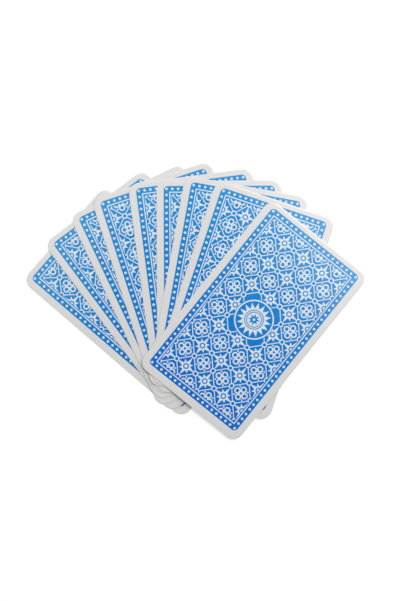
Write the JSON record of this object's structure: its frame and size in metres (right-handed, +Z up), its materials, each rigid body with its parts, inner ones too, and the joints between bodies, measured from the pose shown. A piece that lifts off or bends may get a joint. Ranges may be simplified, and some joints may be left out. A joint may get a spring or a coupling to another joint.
{
  "type": "tarot card deck",
  "caption": "Hand of tarot cards fanned face down: pasteboard cards with rounded corners and a blue and white printed back, each turning about its held corner.",
  "frame": {"origin": "on the table under the held point of the bottom card, 27 mm from its left edge and 12 mm from its lower end", "axes": "+Z up through the stack, +X to the right across the fan, +Y away from the hand towards the spread ends"},
  "size_m": [0.1913, 0.1556, 0.0032],
  "materials": {
    "back_print": "blue print on white paper, satin varnish",
    "core_paste": "opaque dark paste",
    "face_paper": "white paper, satin varnish"
  },
  "bodies": {
    "card_1": {"card_1_face_sheet": "face_paper", "card_1_core": "core_paste", "card_1_back_sheet": "back_print"},
    "card_2": {"card_2_face_sheet": "face_paper", "card_2_core": "core_paste", "card_2_back_sheet": "back_print"},
    "card_3": {"card_3_face_sheet": "face_paper", "card_3_core": "core_paste", "card_3_back_sheet": "back_print"},
    "card_4": {"card_4_face_sheet": "face_paper", "card_4_core": "core_paste", "card_4_back_sheet": "back_print"},
    "card_5": {"card_5_face_sheet": "face_paper", "card_5_core": "core_paste", "card_5_back_sheet": "back_print"},
    "card_6": {"card_6_face_sheet": "face_paper", "card_6_core": "core_paste", "card_6_back_sheet": "back_print"},
    "card_7": {"card_7_face_sheet": "face_paper", "card_7_core": "core_paste", "card_7_back_sheet": "back_print"},
    "card_8": {"card_8_face_sheet": "face_paper", "card_8_core": "core_paste", "card_8_back_sheet": "back_print"},
    "card_9": {"card_9_face_sheet": "face_paper", "card_9_core": "core_paste", "card_9_back_sheet": "back_print"}
  },
  "joints": [
    {"name": "card_2_turn", "type": "hinge", "parent": "card_1", "child": "card_2", "pos_m": [0.00283, 0.00482, 0], "axis": [0, 0, -1], "range_deg": [-12.5, 7.5]},
    {"name": "card_3_turn", "type": "hinge", "parent": "card_1", "child": "card_3", "pos_m": [-0.00004, 0.00532, 0], "axis": [0, 0, -1], "range_deg": [-24, 16]},
    {"name": "card_4_turn", "type": "hinge", "parent": "card_1", "child": "card_4", "pos_m": [0.00261, 0.00303, 0], "axis": [0, 0, -1], "range_deg": [-31.25, 28.75]},
    {"name": "card_5_turn", "type": "hinge", "parent": "card_1", "child": "card_5", "pos_m": [0.00222, -0.00125, 0], "axis": [0, 0, -1], "range_deg": [-41.75, 38.25]},
    {"name": "card_6_turn", "type": "hinge", "parent": "card_1", "child": "card_6", "pos_m": [0.00075, -0.00526, 0], "axis": [0, 0, -1], "range_deg": [-49, 51]},
    {"name": "card_7_turn", "type": "hinge", "parent": "card_1", "child": "card_7", "pos_m": [-0.00098, -0.00114, 0], "axis": [0, 0, -1], "range_deg": [-59.5, 60.5]},
    {"name": "card_8_turn", "type": "hinge", "parent": "card_1", "child": "card_8", "pos_m": [-0.00185, -0.00368, 0], "axis": [0, 0, -1], "range_deg": [-67.75, 72.25]},
    {"name": "card_9_turn", "type": "hinge", "parent": "card_1", "child": "card_9", "pos_m": [-0.00499, 0.00034, 0], "axis": [0, 0, -1], "range_deg": [-88, 72]}
  ]
}
